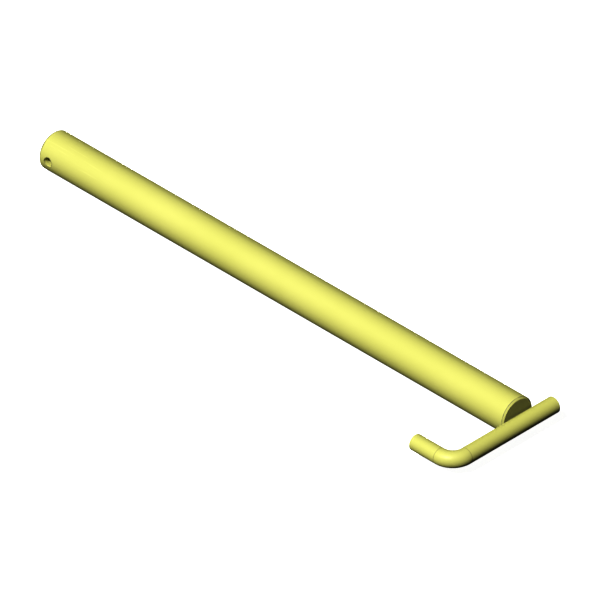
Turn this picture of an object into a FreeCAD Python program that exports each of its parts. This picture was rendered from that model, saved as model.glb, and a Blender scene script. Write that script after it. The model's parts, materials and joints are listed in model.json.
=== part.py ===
import FreeCAD, Part

import math
import os

# A hand tow bar: a round bar with a cross hole for the coupling pin at one end and a bent-rod handle
# welded across the other. Millimetres. The origin is the centre of the coupling hole, on the bar's
# axis. +X runs along the bar to the handle, +Y along the hole, and +Z is square to the handle's plane.

INCH = 25.4
ORIGIN = FreeCAD.Vector(0, 0, 0)
ALONG_X = FreeCAD.Vector(1, 0, 0)
ALONG_Y = FreeCAD.Vector(0, 1, 0)

# The bar, from end face to end face
bar_diameter = 1.5 * INCH
bar_length = 23 * INCH
end_chamfer = INCH / 16
coupling_hole_diameter = 3 / 8 * INCH
coupling_hole_from_end = 15 / 32 * INCH

# The tube and the plugs that close it
tube_wall = INCH / 8
coupling_head_length = 1.125 * INCH
handle_head_length = 0.5 * INCH
spigot_length = 0.75 * INCH
spigot_clearance = 0.1
spigot_lead_in = 1.0

# The V grooves between the tube and the plugs, which the ring welds fill
groove_root = INCH / 16
groove_half_angle = 30

# The handle, one round rod bent once
rod_diameter = 5 / 8 * INCH
rod_axis_from_face = 3 / 8 * INCH
bend_radius = 16.3
free_end_y = 36.0
short_leg_y = -91.1
short_leg_reach = 46.8
rod_end_chamfer = 0.5

# The beads that weld the rod to the end face meet in the root gap, at mid height. Each one reaches
# a height on the face and an angle round the rod, counted from the rod's nearest line to the face.
weld_length = 29.0
upper_weld_height = 1.7
upper_weld_angle = 12
lower_weld_height = 8.0
lower_weld_angle = 45

bar_radius = bar_diameter / 2
bore_radius = bar_radius - tube_wall
spigot_radius = bore_radius - spigot_clearance
bevel_length = tube_wall * math.tan(math.radians(groove_half_angle))
coupling_face_x = -coupling_hole_from_end
handle_face_x = coupling_face_x + bar_length
rod_radius = rod_diameter / 2
rod_x = handle_face_x + rod_axis_from_face


def turned(face_x, inward, profile):
    """A solid turned about the bar's axis, from (depth inward from an end face, radius) corners."""
    points = [FreeCAD.Vector(face_x + inward * depth, 0, radius) for depth, radius in profile]
    section = Part.Face(Part.makePolygon(points + points[:1]))
    return section.revolve(ORIGIN, ALONG_X, 360)


def end_plug(face_x, inward, head_length):
    """A plug with a chamfered head as wide as the bar and a spigot that slips into the tube."""
    spigot_end = head_length + spigot_length
    return turned(face_x, inward, [
        (0, 0),
        (0, bar_radius - end_chamfer),
        (end_chamfer, bar_radius),
        (head_length - bevel_length, bar_radius),
        (head_length, bore_radius),
        (head_length, spigot_radius),
        (spigot_end - spigot_lead_in, spigot_radius),
        (spigot_end, spigot_radius - spigot_lead_in),
        (spigot_end, 0),
    ])


def ring_weld(face_x, inward, head_length):
    """Weld metal that fills one V groove down to the spigot, dressed flush with the bar."""
    tube_nose = head_length + groove_root
    return turned(face_x, inward, [
        (head_length - bevel_length, bar_radius),
        (tube_nose + bevel_length, bar_radius),
        (tube_nose, bore_radius),
        (tube_nose, spigot_radius),
        (head_length, spigot_radius),
        (head_length, bore_radius),
    ])


def tube():
    """The bar's tube, bevelled at both ends for the ring welds."""
    start = coupling_head_length + groove_root
    end = bar_length - handle_head_length - groove_root
    return turned(coupling_face_x, 1, [
        (start, bore_radius),
        (start + bevel_length, bar_radius),
        (end - bevel_length, bar_radius),
        (end, bore_radius),
    ])


def coupling_plug():
    """The solid coupling end, drilled across for the pin."""
    drill_start = FreeCAD.Vector(0, -bar_diameter, 0)
    drill = Part.makeCylinder(coupling_hole_diameter / 2, 2 * bar_diameter, drill_start, ALONG_Y)
    return end_plug(coupling_face_x, 1, coupling_head_length).cut(drill).Solids[0]


def handle():
    """The rod: a long leg across the bar's end, a right-angle bend and a short leg back along the bar."""
    free_end = FreeCAD.Vector(rod_x, free_end_y, 0)
    bend_start = FreeCAD.Vector(rod_x, short_leg_y + bend_radius, 0)
    bend_end = FreeCAD.Vector(rod_x - bend_radius, short_leg_y, 0)
    tip = FreeCAD.Vector(rod_x - short_leg_reach, short_leg_y, 0)
    bend_centre = FreeCAD.Vector(bend_end.x, bend_start.y, 0)
    bend_middle = bend_centre + FreeCAD.Vector(1, -1, 0).normalize() * bend_radius
    path = Part.Wire([
        Part.makeLine(free_end, bend_start),
        Part.Arc(bend_start, bend_middle, bend_end).toShape(),
        Part.makeLine(bend_end, tip),
    ])
    section = Part.Wire(Part.makeCircle(rod_radius, free_end, ALONG_Y))
    rod = path.makePipeShell([section], True, True)
    ends = [face for face in rod.Faces if face.Surface.TypeId == "Part::GeomPlane"]
    return rod.makeChamfer(rod_end_chamfer, [face.Edges[0] for face in ends]).Solids[0]


def handle_weld(side, height, angle):
    """One bead in the gap between the end face and the rod, above (side 1) or below (side -1)."""
    turn = math.radians(angle)
    corners = [
        (handle_face_x, 0),
        (handle_face_x, side * height),
        (rod_x - rod_radius * math.cos(turn), side * rod_radius * math.sin(turn)),
        (rod_x, 0),
    ]
    points = [FreeCAD.Vector(x, -weld_length / 2, z) for x, z in corners]
    block = Part.Face(Part.makePolygon(points + points[:1])).extrude(ALONG_Y * weld_length)
    rod = Part.makeCylinder(rod_radius, 2 * weld_length, FreeCAD.Vector(rod_x, -weld_length, 0), ALONG_Y)
    return block.cut(rod).Solids[0]


nodes = {
    "main_tube": tube(),
    "coupling_end_plug": coupling_plug(),
    "coupling_plug_weld": ring_weld(coupling_face_x, 1, coupling_head_length),
    "handle_end_plug": end_plug(handle_face_x, -1, handle_head_length),
    "handle_plug_weld": ring_weld(handle_face_x, -1, handle_head_length),
    "handle_rod": handle(),
    "handle_weld_upper": handle_weld(1, upper_weld_height, upper_weld_angle),
    "handle_weld_lower": handle_weld(-1, lower_weld_height, lower_weld_angle),
}

os.makedirs("parts", exist_ok=True)
for name, shape in nodes.items():
    shape.exportStep(f"parts/{name}.step")
    print(name, "valid" if shape.isValid() else "NOT VALID", round(shape.Volume), "mm3")
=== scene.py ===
import json
import math
import random

import bmesh
import bpy
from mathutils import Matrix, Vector


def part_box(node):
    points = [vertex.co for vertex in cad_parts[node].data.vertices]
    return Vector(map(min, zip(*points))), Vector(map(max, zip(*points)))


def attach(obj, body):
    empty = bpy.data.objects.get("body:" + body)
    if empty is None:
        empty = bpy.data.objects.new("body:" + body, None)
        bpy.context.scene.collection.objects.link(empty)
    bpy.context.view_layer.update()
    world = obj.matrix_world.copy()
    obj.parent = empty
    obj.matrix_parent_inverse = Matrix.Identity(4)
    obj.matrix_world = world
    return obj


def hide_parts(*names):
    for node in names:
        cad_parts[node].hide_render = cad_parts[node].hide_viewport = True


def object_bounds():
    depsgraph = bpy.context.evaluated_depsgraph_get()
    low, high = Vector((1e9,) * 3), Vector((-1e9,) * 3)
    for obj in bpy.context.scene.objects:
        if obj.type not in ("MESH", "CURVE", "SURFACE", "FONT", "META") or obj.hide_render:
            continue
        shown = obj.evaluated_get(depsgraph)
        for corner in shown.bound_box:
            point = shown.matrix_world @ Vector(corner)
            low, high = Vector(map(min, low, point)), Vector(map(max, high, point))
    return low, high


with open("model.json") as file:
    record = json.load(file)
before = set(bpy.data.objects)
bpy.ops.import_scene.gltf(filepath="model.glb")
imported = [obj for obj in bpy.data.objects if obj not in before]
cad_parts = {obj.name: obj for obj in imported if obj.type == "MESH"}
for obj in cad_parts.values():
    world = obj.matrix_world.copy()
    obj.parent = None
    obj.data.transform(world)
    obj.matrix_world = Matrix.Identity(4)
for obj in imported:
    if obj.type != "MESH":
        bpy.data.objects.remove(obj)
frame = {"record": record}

bpy.context.view_layer.update()
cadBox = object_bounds()

# places that the frame gives, in metres
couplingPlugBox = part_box("coupling_end_plug")
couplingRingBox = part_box("coupling_plug_weld")
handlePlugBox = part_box("handle_end_plug")
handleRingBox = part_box("handle_plug_weld")
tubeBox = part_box("main_tube")
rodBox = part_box("handle_rod")
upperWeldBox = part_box("handle_weld_upper")
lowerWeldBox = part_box("handle_weld_lower")
pinHole = next(mount for mount in frame["record"]["mounts"] if mount["name"] == "coupling_hole")
holeRadius = pinHole["dims"]["r_mm"] / 1000

barRadius = couplingPlugBox[1].z
couplingFaceX = couplingPlugBox[0].x
handleFaceX = handlePlugBox[1].x
rodRadius = rodBox[1].z
rodX = rodBox[1].x - rodRadius
freeEndY = rodBox[1].y
shortLegY = rodBox[0].y + rodRadius
tipX = rodBox[0].x
print("frame read: bar radius", round(barRadius, 5), "rod radius", round(rodRadius, 5))


# camera, floor and light

studio = {
    "lens": 1500,            # long enough to flatten the view nearly to a drawing's
    "sensor": 36,
    "viewWidth": 0.5331,     # metres across the picture at the aim point
    "aim": (0.31025, -0.0098, 0.0),
    "azimuth": 45,
    "elevation": 35.264,
    "floorSize": 60,
    "floorTone": 0.6,
    "floorGlow": 0.95,       # lifts the floor to white and leaves only a faint shadow
    "keyFrom": (0.125, -0.617, 0.775),
    "keyStrength": 4.27,
    "keySoftness": 12,       # degrees across
    "fillFrom": (-0.50, 0.78, -0.37),   # behind and below: lights the back, leaves the front's shade
    "fillStrength": 2.6,
    "fillSoftness": 20,
    "skyStrength": 0.04,     # on the bar; the camera sees the sky as white as the floor
    "contrast": 0.6,
}


def addCamera(spec):
    turn = math.radians(spec["azimuth"])
    lift = math.radians(spec["elevation"])
    back = Vector((math.sin(turn) * math.cos(lift), -math.cos(turn) * math.cos(lift), math.sin(lift)))
    distance = spec["viewWidth"] * spec["lens"] / spec["sensor"]
    bpy.ops.object.camera_add(location=Vector(spec["aim"]) + back * distance)
    camera = bpy.context.object
    camera.name = "studioCamera"
    camera.rotation_euler = (-back).to_track_quat("-Z", "Y").to_euler()
    camera.data.lens = spec["lens"]
    camera.data.sensor_width = spec["sensor"]
    camera.data.clip_start = 0.1
    camera.data.clip_end = distance * 6
    bpy.context.scene.camera = camera


def addSun(name, comesFrom, strength, softness, glints=True):
    bpy.ops.object.light_add(type="SUN", location=Vector(comesFrom) * 3)
    sun = bpy.context.object
    sun.name = name
    sun.rotation_euler = Vector(comesFrom).to_track_quat("Z", "Y").to_euler()
    sun.data.energy = strength
    sun.data.angle = math.radians(softness)
    sun.visible_glossy = glints


def addFloor(spec):
    bpy.ops.mesh.primitive_plane_add(size=spec["floorSize"], location=(0, 0, cadBox[0].z))
    floor = bpy.context.object
    floor.name = "studioFloor"
    material = bpy.data.materials.new("paleFloor")
    material.use_nodes = True
    shader = material.node_tree.nodes["Principled BSDF"]
    tone = spec["floorTone"]
    shader.inputs["Base Color"].default_value = (tone, tone, tone, 1)
    shader.inputs["Roughness"].default_value = 1.0
    shader.inputs["Specular IOR Level"].default_value = 0.0
    shader.inputs["Emission Color"].default_value = (1, 1, 1, 1)
    shader.inputs["Emission Strength"].default_value = spec["floorGlow"]
    floor.data.materials.append(material)
    floor.visible_diffuse = False   # it throws no light back at the bar
    floor.visible_glossy = False
    floor.visible_shadow = False    # and lets the fill light through from below


def addSky(spec):
    sky = bpy.data.worlds.new("studioSky")
    sky.use_nodes = True
    nodes = sky.node_tree.nodes
    links = sky.node_tree.links
    dim = nodes["Background"]
    dim.inputs["Color"].default_value = (1, 1, 1, 1)
    dim.inputs["Strength"].default_value = spec["skyStrength"]
    white = nodes.new("ShaderNodeBackground")
    white.inputs["Color"].default_value = (1, 1, 1, 1)
    seen = nodes.new("ShaderNodeLightPath")
    choice = nodes.new("ShaderNodeMixShader")
    links.new(seen.outputs["Is Camera Ray"], choice.inputs[0])
    links.new(dim.outputs[0], choice.inputs[1])
    links.new(white.outputs[0], choice.inputs[2])
    links.new(choice.outputs[0], nodes["World Output"].inputs["Surface"])
    bpy.context.scene.world = sky


addCamera(studio)
addFloor(studio)
addSun("keyLight", studio["keyFrom"], studio["keyStrength"], studio["keySoftness"])
addSun("fillLight", studio["fillFrom"], studio["fillStrength"], studio["fillSoftness"], glints=False)
addSky(studio)
bpy.context.scene.view_settings.view_transform = "Standard"
bpy.context.scene.view_settings.gamma = studio["contrast"]
print("camera, floor and light are in place")


# shader sums

class Shade:
    # one shader value of a material; sums and products on it add their own Math nodes
    def __init__(self, tree, socket=None):
        self.tree = tree
        self.socket = socket

    def node(self, kind, settings=None, values=None, out=0):
        made = self.tree.nodes.new(kind)
        for name, setting in (settings or {}).items():
            if name == "stops":
                for stop, (at, colour) in zip(made.color_ramp.elements, setting):
                    stop.position = at
                    stop.color = colour
            else:
                setattr(made, name, setting)
        for name, value in (values or {}).items():
            if isinstance(value, Shade):
                self.tree.links.new(value.socket, made.inputs[name])
            else:
                made.inputs[name].default_value = value
        return Shade(self.tree, made.outputs[out])

    def maths(self, operation, first, second=0.0):
        return self.node("ShaderNodeMath", {"operation": operation}, {0: first, 1: second})

    def __add__(self, other):
        return self.maths("ADD", self, other)

    def __radd__(self, other):
        return self.maths("ADD", other, self)

    def __sub__(self, other):
        return self.maths("SUBTRACT", self, other)

    def __rsub__(self, other):
        return self.maths("SUBTRACT", other, self)

    def __mul__(self, other):
        return self.maths("MULTIPLY", self, other)

    def __rmul__(self, other):
        return self.maths("MULTIPLY", other, self)

    def __truediv__(self, other):
        return self.maths("DIVIDE", self, other)

    def __abs__(self):
        return self.maths("ABSOLUTE", self)

    def root(self):
        return self.maths("SQRT", self)

    def atMost(self, other):
        return self.maths("MINIMUM", self, other)

    def atLeast(self, other):
        return self.maths("MAXIMUM", self, other)

    def wave(self, pitch):
        # a sine along this length, one crest every pitch
        return self.maths("SINE", self * (2 * math.pi / pitch))

    def fade(self, start, end):
        # 1 up to start, smoothly down to 0 at end
        ends = {"From Min": start, "From Max": end, "To Min": 1.0, "To Max": 0.0}
        smooth = {"interpolation_type": "SMOOTHSTEP"}
        return self.node("ShaderNodeMapRange", smooth, {"Value": self, **ends})

    def rise(self, start, end):
        return 1 - self.fade(start, end)

    def mixed(self, first, second):
        # between two colours, with this value as the share of the second
        return self.node("ShaderNodeMix", {"data_type": "RGBA"}, {0: self, 6: first, 7: second}, 2)

    def noise(self, place, size, detail=2.0, stretch=(1, 1, 1)):
        scaled = self.node("ShaderNodeMapping", {}, {"Vector": place, "Scale": stretch})
        return self.node("ShaderNodeTexNoise", {}, {"Vector": scaled, "Scale": 1 / size, "Detail": detail})


# paint

paint = {
    "colour": (0.70, 0.70, 0.238, 1),
    "faded": (0.73, 0.725, 0.262, 1),
    # this dark colour is used both for real dirt and for painted shade where parts meet and deep in the
    # bore
    "grimeAndShade": (0.30, 0.28, 0.12, 1),
    "primer": (0.20, 0.20, 0.11, 1),
    "rubbed": (0.88, 0.87, 0.36, 1),
    "roughness": 0.46,
    "specular": 0.35,
    "peelSize": 0.0016,       # orange peel
    "peelDepth": 0.000012,
    "mottleSize": 0.09,
    "freckleSize": 0.006,
    "speckSize": 0.0011,
    "speckStrength": 0.10,
    "rubbing": 0.35,
    "wornDepth": 0.00004,
    "scuffDepth": 0.000006,
}


def paintMaterial(name, edgeWear, grimeAndShade, scuffs, relief=None):
    # each argument is a function of the coordinates that gives a mask, or a height in metres for relief
    material = bpy.data.materials.new(name)
    material.use_nodes = True
    tree = material.node_tree
    shader = tree.nodes["Principled BSDF"]
    start = Shade(tree)
    place = start.node("ShaderNodeTexCoord", {}, {}, "Object")
    split = place.node("ShaderNodeSeparateXYZ", {}, {"Vector": place}, "X").socket.node
    x, y, z = (Shade(tree, split.outputs[axis]) for axis in "XYZ")

    mottle = start.noise(place, paint["mottleSize"], 3.0)
    freckle = start.noise(place, paint["freckleSize"], 2.0)
    speck = start.noise(place, paint["speckSize"], 1.0).rise(0.76, 0.80)
    wear = edgeWear(start, place, x, y, z)
    # this mask holds real dirt and painted shade together; both darken the colour below and roughen it
    dirtAndShade = grimeAndShade(start, place, x, y, z)
    scuff = scuffs(start, place, x, y, z)

    body = (mottle.rise(0.35, 0.75) * 0.7 + freckle * 0.2).mixed(paint["colour"], paint["faded"])
    dirtyAndShaded = (dirtAndShade + speck * paint["speckStrength"]).atMost(1.0).mixed(body, paint["grimeAndShade"])
    rubbed = (scuff * paint["rubbing"]).mixed(dirtyAndShaded, paint["rubbed"])
    worn = wear.mixed(rubbed, paint["primer"])
    tree.links.new(worn.socket, shader.inputs["Base Color"])

    gloss = paint["roughness"] + (freckle - 0.5) * 0.10 + dirtAndShade * 0.25 - scuff * 0.10 + wear * 0.12
    tree.links.new(gloss.socket, shader.inputs["Roughness"])
    shader.inputs["Specular IOR Level"].default_value = paint["specular"]

    peel = start.noise(place, paint["peelSize"], 1.0) * paint["peelDepth"]
    height = peel - wear * paint["wornDepth"] - scuff * paint["scuffDepth"]
    if relief:
        height = height + relief(start, place, x, y, z)
    bump = height.node("ShaderNodeBump", {}, {"Height": height, "Distance": 1.0, "Strength": 1.0})
    tree.links.new(bump.socket, shader.inputs["Normal"])
    return material


def distanceTo(first, firstAt, second, secondAt):
    across = first - firstAt
    along = second - secondAt
    return (across * across + along * along).root()


def brokenLine(start, place, distance, width):
    # a thin worn line that goes faint in places
    patchy = start.noise(place, 0.004, 2.0)
    return distance.fade(width * 0.4, width) * (0.45 + patchy.rise(0.35, 0.60) * 0.55)


def noMask(start, place, x, y, z):
    return x * 0.0


# modelling helpers

def startPiece(name, primitive, **settings):
    # a primitive with its place in its mesh, and nothing else selected
    bpy.ops.object.select_all(action="DESELECT")
    primitive(**settings)
    bpy.ops.object.transform_apply(location=True, rotation=True, scale=True)
    piece = bpy.context.object
    piece.name = name
    return piece


def pick(piece, kind, test):
    # in edit mode, selects only the verts, edges or faces whose middle passes the test
    bpy.ops.mesh.select_mode(type={"verts": "VERT", "edges": "EDGE", "faces": "FACE"}[kind])
    bpy.ops.mesh.select_all(action="DESELECT")
    shape = bmesh.from_edit_mesh(piece.data)
    for part in getattr(shape, kind):
        corners = [part.co] if kind == "verts" else [corner.co for corner in part.verts]
        part.select_set(test(sum(corners, Vector()) / len(corners)))
    bmesh.update_edit_mesh(piece.data)


def finishPiece(piece, material, node, smoothBelow):
    # cleans the mesh, paints it and lets it stand for its CAD node
    bpy.ops.object.mode_set(mode="EDIT")
    bpy.ops.mesh.select_all(action="SELECT")
    bpy.ops.mesh.remove_doubles(threshold=1e-6)
    bpy.ops.mesh.normals_make_consistent(inside=False)
    bpy.ops.object.mode_set(mode="OBJECT")
    bpy.ops.object.shade_smooth_by_angle(angle=math.radians(smoothBelow))
    # keeps the small edge rounds from shading the big faces beside them
    flatten = piece.modifiers.new("flatFaces", "WEIGHTED_NORMAL")
    flatten.weight = 100
    flatten.keep_sharp = True
    bpy.ops.object.modifier_apply(modifier="flatFaces")
    piece.data.materials.clear()
    piece.data.materials.append(material)
    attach(piece, "root")
    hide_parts(node)
    print(piece.name, "made,", len(piece.data.polygons), "faces")


def extrudeTo(here, there, squeeze=1.0):
    # carries the selected end on to a place, and squeezes it round the line of the run there
    run = there - here
    bpy.ops.mesh.extrude_region_move(TRANSFORM_OT_translate={"value": run})
    if squeeze != 1.0:
        along = run.normalized()
        scale = tuple(1.0 if abs(part) > 0.5 else squeeze for part in along)
        bpy.ops.transform.resize(value=scale, center_override=there)
    return there


# bar: a tube, the plugs that close it and the ring welds between them, dressed flush

bar = {
    "sides": 128,
    "wall": 0.003175,
    "grooveAngle": 30,        # half the angle of the grooves that the ring welds fill
    "spigotClearance": 0.0001,
    "leadIn": 0.001,
    "chamfer": 0.0015875,
    "edgeRound": 0.00015,
    "drillSides": 64,
    "holeRound": 0.00022,
    "roundSteps": 2,
    "handleEdgeLine": 0.00042,
    "couplingEdgeLine": 0.00075,   # worn wider, because this end knocks against things
    "holeLine": 0.0008,
    "lineStrength": 0.95,
    "scuffLength": 0.10,      # how far up the coupling end a socket rubs
    "turningPitch": 0.0006,   # lathe rings on the end faces
    "turningDepth": 0.000005,
}


def barEdges(start, place, x, y, z):
    radius = (y * y + z * z).root()
    around = (x * x + z * z).root()
    lines = brokenLine(start, place, distanceTo(around, holeRadius, radius, barRadius), bar["holeLine"])
    for rimX, width in ((couplingFaceX + bar["chamfer"], bar["couplingEdgeLine"]),
                        (handleFaceX - bar["chamfer"], bar["handleEdgeLine"])):
        rim = distanceTo(x, rimX, radius, barRadius)
        lines = lines.atLeast(brokenLine(start, place, rim, width))
    return lines * bar["lineStrength"]


def barPaintedShade(start, place, x, y, z):
    radius = (y * y + z * z).root()
    around = (x * x + z * z).root()
    # painted shade: the bore wall goes darker deeper into the hole
    shadeInHole = around.fade(holeRadius, holeRadius * 1.02) * radius.fade(barRadius * 0.80, barRadius * 0.97)
    # painted shade: the handle's end face darker in a band where the rod and welds meet it
    shadeByHandle = abs(x - handleFaceX).fade(0.0, 0.0003) * abs(z).fade(0.002, 0.007)
    return shadeInHole * 0.35 + shadeByHandle * 0.30


def barScuffs(start, place, x, y, z):
    streaks = start.noise(place, 0.0012, 2.0, (0.03, 1, 1)).rise(0.60, 0.72)
    atSocket = x.fade(couplingFaceX + bar["scuffLength"] * 0.5, couplingFaceX + bar["scuffLength"])
    return streaks * (atSocket * 0.55 + 0.12)


def barRelief(start, place, x, y, z):
    radius = (y * y + z * z).root()
    onFace = abs(x - handleFaceX).atMost(abs(x - couplingFaceX)).fade(0.0, 0.0002)
    return radius.wave(bar["turningPitch"]) * onFace * bar["turningDepth"]


barPaint = paintMaterial("barPaint", barEdges, barPaintedShade, barScuffs, barRelief)

groove = bar["wall"] * math.tan(math.radians(bar["grooveAngle"]))
boreRadius = barRadius - bar["wall"]
spigotRadius = boreRadius - bar["spigotClearance"]


def makeRing(name, node, stations):
    # a hollow piece round the bar's axis; stations are (low x, high x, radius) from the outside in
    low, high, radius = stations[0]
    piece = startPiece(name, bpy.ops.mesh.primitive_cylinder_add, vertices=bar["sides"], radius=radius,
                       depth=high - low, end_fill_type="NOTHING", location=((low + high) / 2, 0, 0),
                       rotation=(0, math.pi / 2, 0))
    bpy.ops.object.mode_set(mode="EDIT")
    for side in (0, 1):
        rim = stations[0][side]
        pick(piece, "edges", lambda spot: abs(spot.x - rim) < 1e-6)
        for outer, inner in zip(stations, stations[1:]):
            run = (inner[side] - outer[side], 0, 0)
            bpy.ops.mesh.extrude_region_move(TRANSFORM_OT_translate={"value": run})
            squeeze = inner[2] / outer[2]
            bpy.ops.transform.resize(value=(1, squeeze, squeeze), center_override=(inner[side], 0, 0))
    low, high, radius = stations[-1]
    pick(piece, "edges", lambda spot: min(abs(spot.x - low), abs(spot.x - high)) < 1e-6
         and math.hypot(spot.y, spot.z) < radius + 1e-6)
    bpy.ops.mesh.bridge_edge_loops()
    finishPiece(piece, barPaint, node, 35)


def drillAcross(piece):
    # the pin's hole, with its two sharp mouths eased
    bpy.ops.object.mode_set(mode="OBJECT")
    drill = startPiece("crossDrill", bpy.ops.mesh.primitive_cylinder_add, vertices=bar["drillSides"],
                       radius=holeRadius, depth=3 * barRadius, rotation=(math.pi / 2, 0, 0))
    bpy.context.view_layer.objects.active = piece
    cut = piece.modifiers.new("crossHole", "BOOLEAN")
    cut.operation = "DIFFERENCE"
    cut.object = drill
    bpy.ops.object.modifier_apply(modifier="crossHole")
    bpy.data.objects.remove(drill)
    bpy.ops.object.mode_set(mode="EDIT")
    bpy.ops.mesh.select_all(action="SELECT")
    bpy.ops.mesh.remove_doubles(threshold=0.00003)
    pick(piece, "edges", lambda spot: abs(math.hypot(spot.x, spot.z) - holeRadius) < 0.00003
         and abs(math.hypot(spot.y, spot.z) - barRadius) < 0.00006)
    bpy.ops.mesh.bevel(offset=bar["holeRound"], segments=bar["roundSteps"], affect="EDGES")


def makePlug(name, node, faceX, headEnd, spigotEnd, drilled=False):
    # a chamfered head as wide as the bar, its weld bevel, and the spigot that slips into the tube
    inward = math.copysign(1, headEnd - faceX)
    neck = headEnd - inward * groove
    piece = startPiece(name, bpy.ops.mesh.primitive_cylinder_add, vertices=bar["sides"], radius=barRadius,
                       depth=abs(neck - faceX), location=((faceX + neck) / 2, 0, 0),
                       rotation=(0, math.pi / 2, 0))
    bpy.ops.object.mode_set(mode="EDIT")
    pick(piece, "faces", lambda spot: abs(spot.x - neck) < 1e-6)
    here = extrudeTo(Vector((neck, 0, 0)), Vector((headEnd, 0, 0)), boreRadius / barRadius)
    bpy.ops.mesh.inset(thickness=bar["spigotClearance"])
    here = extrudeTo(here, Vector((spigotEnd - inward * bar["leadIn"], 0, 0)))
    extrudeTo(here, Vector((spigotEnd, 0, 0)), 1 - bar["leadIn"] / spigotRadius)

    pick(piece, "edges", lambda spot: abs(spot.x - faceX) < 1e-6)
    bpy.ops.mesh.bevel(offset=bar["chamfer"], segments=1, affect="EDGES")
    chamferEnd = faceX + inward * bar["chamfer"]
    pick(piece, "edges", lambda spot: min(abs(spot.x - faceX), abs(spot.x - chamferEnd)) < 1e-6)
    bpy.ops.mesh.bevel(offset=bar["edgeRound"], segments=bar["roundSteps"], affect="EDGES")
    if drilled:
        drillAcross(piece)
    finishPiece(piece, barPaint, node, 35)


couplingHeadEnd = couplingRingBox[0].x + groove
handleHeadEnd = handleRingBox[1].x - groove
makePlug("couplingPlug", "coupling_end_plug", couplingFaceX, couplingHeadEnd, couplingPlugBox[1].x,
         drilled=True)
makePlug("handlePlug", "handle_end_plug", handleFaceX, handleHeadEnd, handlePlugBox[0].x)
makeRing("barTube", "main_tube", [
    (tubeBox[0].x + groove, tubeBox[1].x - groove, barRadius),
    (tubeBox[0].x, tubeBox[1].x, boreRadius),
])
for name, node, box in (("couplingRingWeld", "coupling_plug_weld", couplingRingBox),
                        ("handleRingWeld", "handle_plug_weld", handleRingBox)):
    makeRing(name, node, [
        (box[0].x, box[1].x, barRadius),
        (box[0].x + groove, box[1].x - groove, boreRadius),
        (box[0].x + groove, box[1].x - groove, spigotRadius),
    ])


# handle: one bent rod

handle = {
    "sides": 96,
    "bendRadius": 0.0163,
    "bendSteps": 40,
    "legStep": 0.012,
    "witnessWidth": 0.0009,    # the marks that the bending die leaves where the bend starts and ends
    "witnessDepth": 0.00014,
    "witnessGrime": 0.7,
    "rim": 0.0006,
    "rimSteps": 3,
    "rimWear": 0.8,
}
bendX = rodX - handle["bendRadius"]
bendY = shortLegY + handle["bendRadius"]


def extrudeLeg(here, there, step):
    count = max(1, round((there - here).length / step))
    start = here.copy()
    for index in range(1, count + 1):
        here = extrudeTo(here, start.lerp(there, index / count))
    return here


def makeHandle(spec, material):
    piece = startPiece("handleRod", bpy.ops.mesh.primitive_circle_add, vertices=spec["sides"],
                       radius=rodRadius, fill_type="NGON", location=(rodX, freeEndY, 0),
                       rotation=(math.pi / 2, 0, 0))
    bpy.ops.object.mode_set(mode="EDIT")
    bpy.ops.mesh.select_all(action="SELECT")
    squeeze = 1 - spec["witnessDepth"] / rodRadius
    half = spec["witnessWidth"] / 2

    here = extrudeLeg(Vector((rodX, freeEndY, 0)), Vector((rodX, bendY + 2 * half, 0)), spec["legStep"])
    here = extrudeTo(here, Vector((rodX, bendY + half, 0)), squeeze)
    here = extrudeTo(here, Vector((rodX, bendY, 0)), 1 / squeeze)
    bpy.ops.mesh.spin(steps=spec["bendSteps"], angle=math.pi / 2, center=(bendX, bendY, 0), axis=(0, 0, 1))
    here = extrudeTo(Vector((bendX, shortLegY, 0)), Vector((bendX - half, shortLegY, 0)), squeeze)
    here = extrudeTo(here, Vector((bendX - 2 * half, shortLegY, 0)), 1 / squeeze)
    extrudeLeg(here, Vector((tipX, shortLegY, 0)), spec["legStep"])

    for atEnd in (lambda spot: spot.y > freeEndY - 1e-5, lambda spot: spot.x < tipX + 1e-5):
        pick(piece, "edges", atEnd)
        bpy.ops.mesh.bevel(offset=spec["rim"], segments=spec["rimSteps"], affect="EDGES")
        pick(piece, "faces", atEnd)
        bpy.ops.mesh.inset(thickness=spec["rim"])
        bpy.ops.mesh.inset(thickness=rodRadius * 0.4)
    piece.visible_diffuse = False   # it throws no light on the bar's end face
    finishPiece(piece, material, "handle_rod", 35)


def handleEdges(start, place, x, y, z):
    roundLong = ((x - rodX) * (x - rodX) + z * z).root()
    roundShort = ((y - shortLegY) * (y - shortLegY) + z * z).root()
    freeRim = distanceTo(y, freeEndY, roundLong, rodRadius)
    tipRim = distanceTo(x, tipX, roundShort, rodRadius)
    return brokenLine(start, place, freeRim.atMost(tipRim), handle["rim"]) * handle["rimWear"]


def handleGrimeAndShade(start, place, x, y, z):
    half = handle["witnessWidth"] / 2
    startMark = abs(y - (bendY + half)).fade(0.0, half)
    endMark = abs(x - (bendX - half)).fade(0.0, half)
    # painted shade: the rod darker next to the bar's end face, where it crosses the bar
    shadeByBar = abs(x - handleFaceX).fade(0.0015, 0.0035) * abs(y).fade(barRadius * 0.9, barRadius * 1.1)
    return startMark.atLeast(endMark) * handle["witnessGrime"] + shadeByBar * 0.3


def handleScuffs(start, place, x, y, z):
    rubs = start.noise(place, 0.0030, 3.0).rise(0.60, 0.75)
    inHand = y.fade(-barRadius * 1.4, -barRadius)
    return rubs * inHand * 0.35


handlePaint = paintMaterial("handlePaint", handleEdges, handleGrimeAndShade, handleScuffs)
makeHandle(handle, handlePaint)


# weld beads between the rod and the end face

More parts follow.
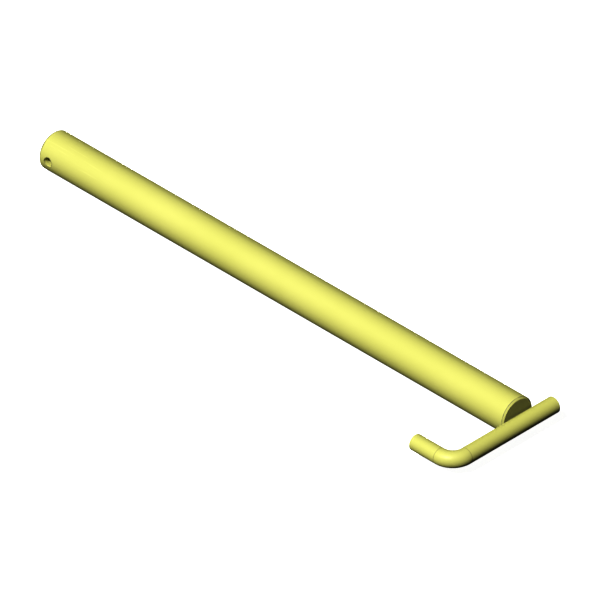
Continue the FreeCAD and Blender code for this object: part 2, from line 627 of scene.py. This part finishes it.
upperBead = {
    "name": "upperWeldBead",
    "node": "handle_weld_upper",
    "length": upperWeldBox[1].y - upperWeldBox[0].y,
    "pitch": 0.00095,
    "ripple": (0.00112, 0.00125, 0.00080),
    "centre": (handleFaceX + 0.00086, 0, 0.00092),
    "tilt": 0,
    "core": ((-0.0003, 0.0), (0.0019, 0.0), (0.0019, 0.0012), (-0.0003, 0.0012)),
    "voxel": 0.00016,
    "seed": 3,
}
lowerBead = {
    "name": "lowerWeldBead",
    "node": "handle_weld_lower",
    "length": lowerWeldBox[1].y - lowerWeldBox[0].y,
    "pitch": 0.0013,
    "ripple": (0.0027, 0.00165, 0.00125),
    "centre": (handleFaceX + 0.0019, 0, -0.0064),
    "tilt": -31.5,
    "core": ((-0.0003, 0.0), (0.0019, 0.0), (0.0046, -0.0052), (-0.0003, -0.0076)),
    "voxel": 0.0002,
    "seed": 8,
}


def makeCore(spec):
    # the wedge of metal behind the ripples: a cube with its edges carried to the groove's corners
    half = spec["length"] / 2 - spec["pitch"]
    side = 0.001
    core = startPiece("weldCore", bpy.ops.mesh.primitive_cube_add, size=1, scale=(side, 2 * half, side))
    corners = {(-1, 1): 0, (1, 1): 1, (1, -1): 2, (-1, -1): 3}
    if spec["core"][2][1] > 0:
        corners = {(-1, -1): 0, (1, -1): 1, (1, 1): 2, (-1, 1): 3}
    bpy.ops.object.mode_set(mode="EDIT")
    for (sideX, sideZ), index in corners.items():
        reachX, reachZ = spec["core"][index]
        fromX = sideX * side / 2
        fromZ = sideZ * side / 2
        pick(core, "verts", lambda spot: abs(spot.x - fromX) < 1e-5 and abs(spot.z - fromZ) < 1e-5)
        move = (handleFaceX + reachX - fromX, 0, reachZ - fromZ)
        bpy.ops.transform.translate(value=move)
    bpy.ops.object.mode_set(mode="OBJECT")
    return core


def makeRipple(spec, y, size, turn):
    # one freeze ripple of the bead, a squashed ball tilted to the groove
    ripple = startPiece("weldRipple", bpy.ops.mesh.primitive_uv_sphere_add, segments=24, ring_count=12,
                        radius=1)
    middle = Vector((spec["centre"][0], y, spec["centre"][2]))
    bpy.ops.object.mode_set(mode="EDIT")
    bpy.ops.mesh.select_all(action="SELECT")
    bpy.ops.transform.resize(value=[part * size for part in spec["ripple"]], center_override=(0, 0, 0))
    bpy.ops.transform.rotate(value=math.radians(spec["tilt"]), orient_axis="Y", center_override=(0, 0, 0))
    bpy.ops.transform.rotate(value=turn, orient_axis="X", center_override=(0, 0, 0))
    bpy.ops.transform.translate(value=middle)
    bpy.ops.object.mode_set(mode="OBJECT")
    return ripple


def makeBead(spec, material):
    chance = random.Random(spec["seed"])
    parts = [makeCore(spec)]
    reach = spec["length"] / 2 - spec["ripple"][1]
    count = round(2 * reach / spec["pitch"])
    for index in range(count + 1):
        y = -reach + 2 * reach * index / count + chance.uniform(-0.1, 0.1) * spec["pitch"]
        ending = 0.88 if index in (0, count) else 1.0
        parts.append(makeRipple(spec, y, ending * chance.uniform(0.95, 1.05), math.radians(14)))
    bpy.ops.object.select_all(action="DESELECT")
    for part in parts:
        part.select_set(True)
    bead = parts[0]
    bpy.context.view_layer.objects.active = bead
    bpy.ops.object.join()
    bead.name = spec["name"]
    remesh = bead.modifiers.new("fuse", "REMESH")
    remesh.mode = "VOXEL"
    remesh.voxel_size = spec["voxel"]
    bpy.ops.object.modifier_apply(modifier="fuse")
    soften = bead.modifiers.new("soften", "SMOOTH")
    soften.factor = 0.5
    soften.iterations = 2
    bpy.ops.object.modifier_apply(modifier="soften")
    bead.visible_diffuse = False
    finishPiece(bead, material, spec["node"], 60)


def weldGrimeAndShade(start, place, x, y, z):
    # painted shade: the bead darker where it meets the end face; the patches below are real dirt
    shadeAtFace = (x - handleFaceX).fade(0.0, 0.0006)
    patches = start.noise(place, 0.002, 2.0).rise(0.55, 0.75)
    return shadeAtFace * 0.35 + patches * 0.12


weldPaint = paintMaterial("weldPaint", noMask, weldGrimeAndShade, noMask)
makeBead(upperBead, weldPaint)
makeBead(lowerBead, weldPaint)
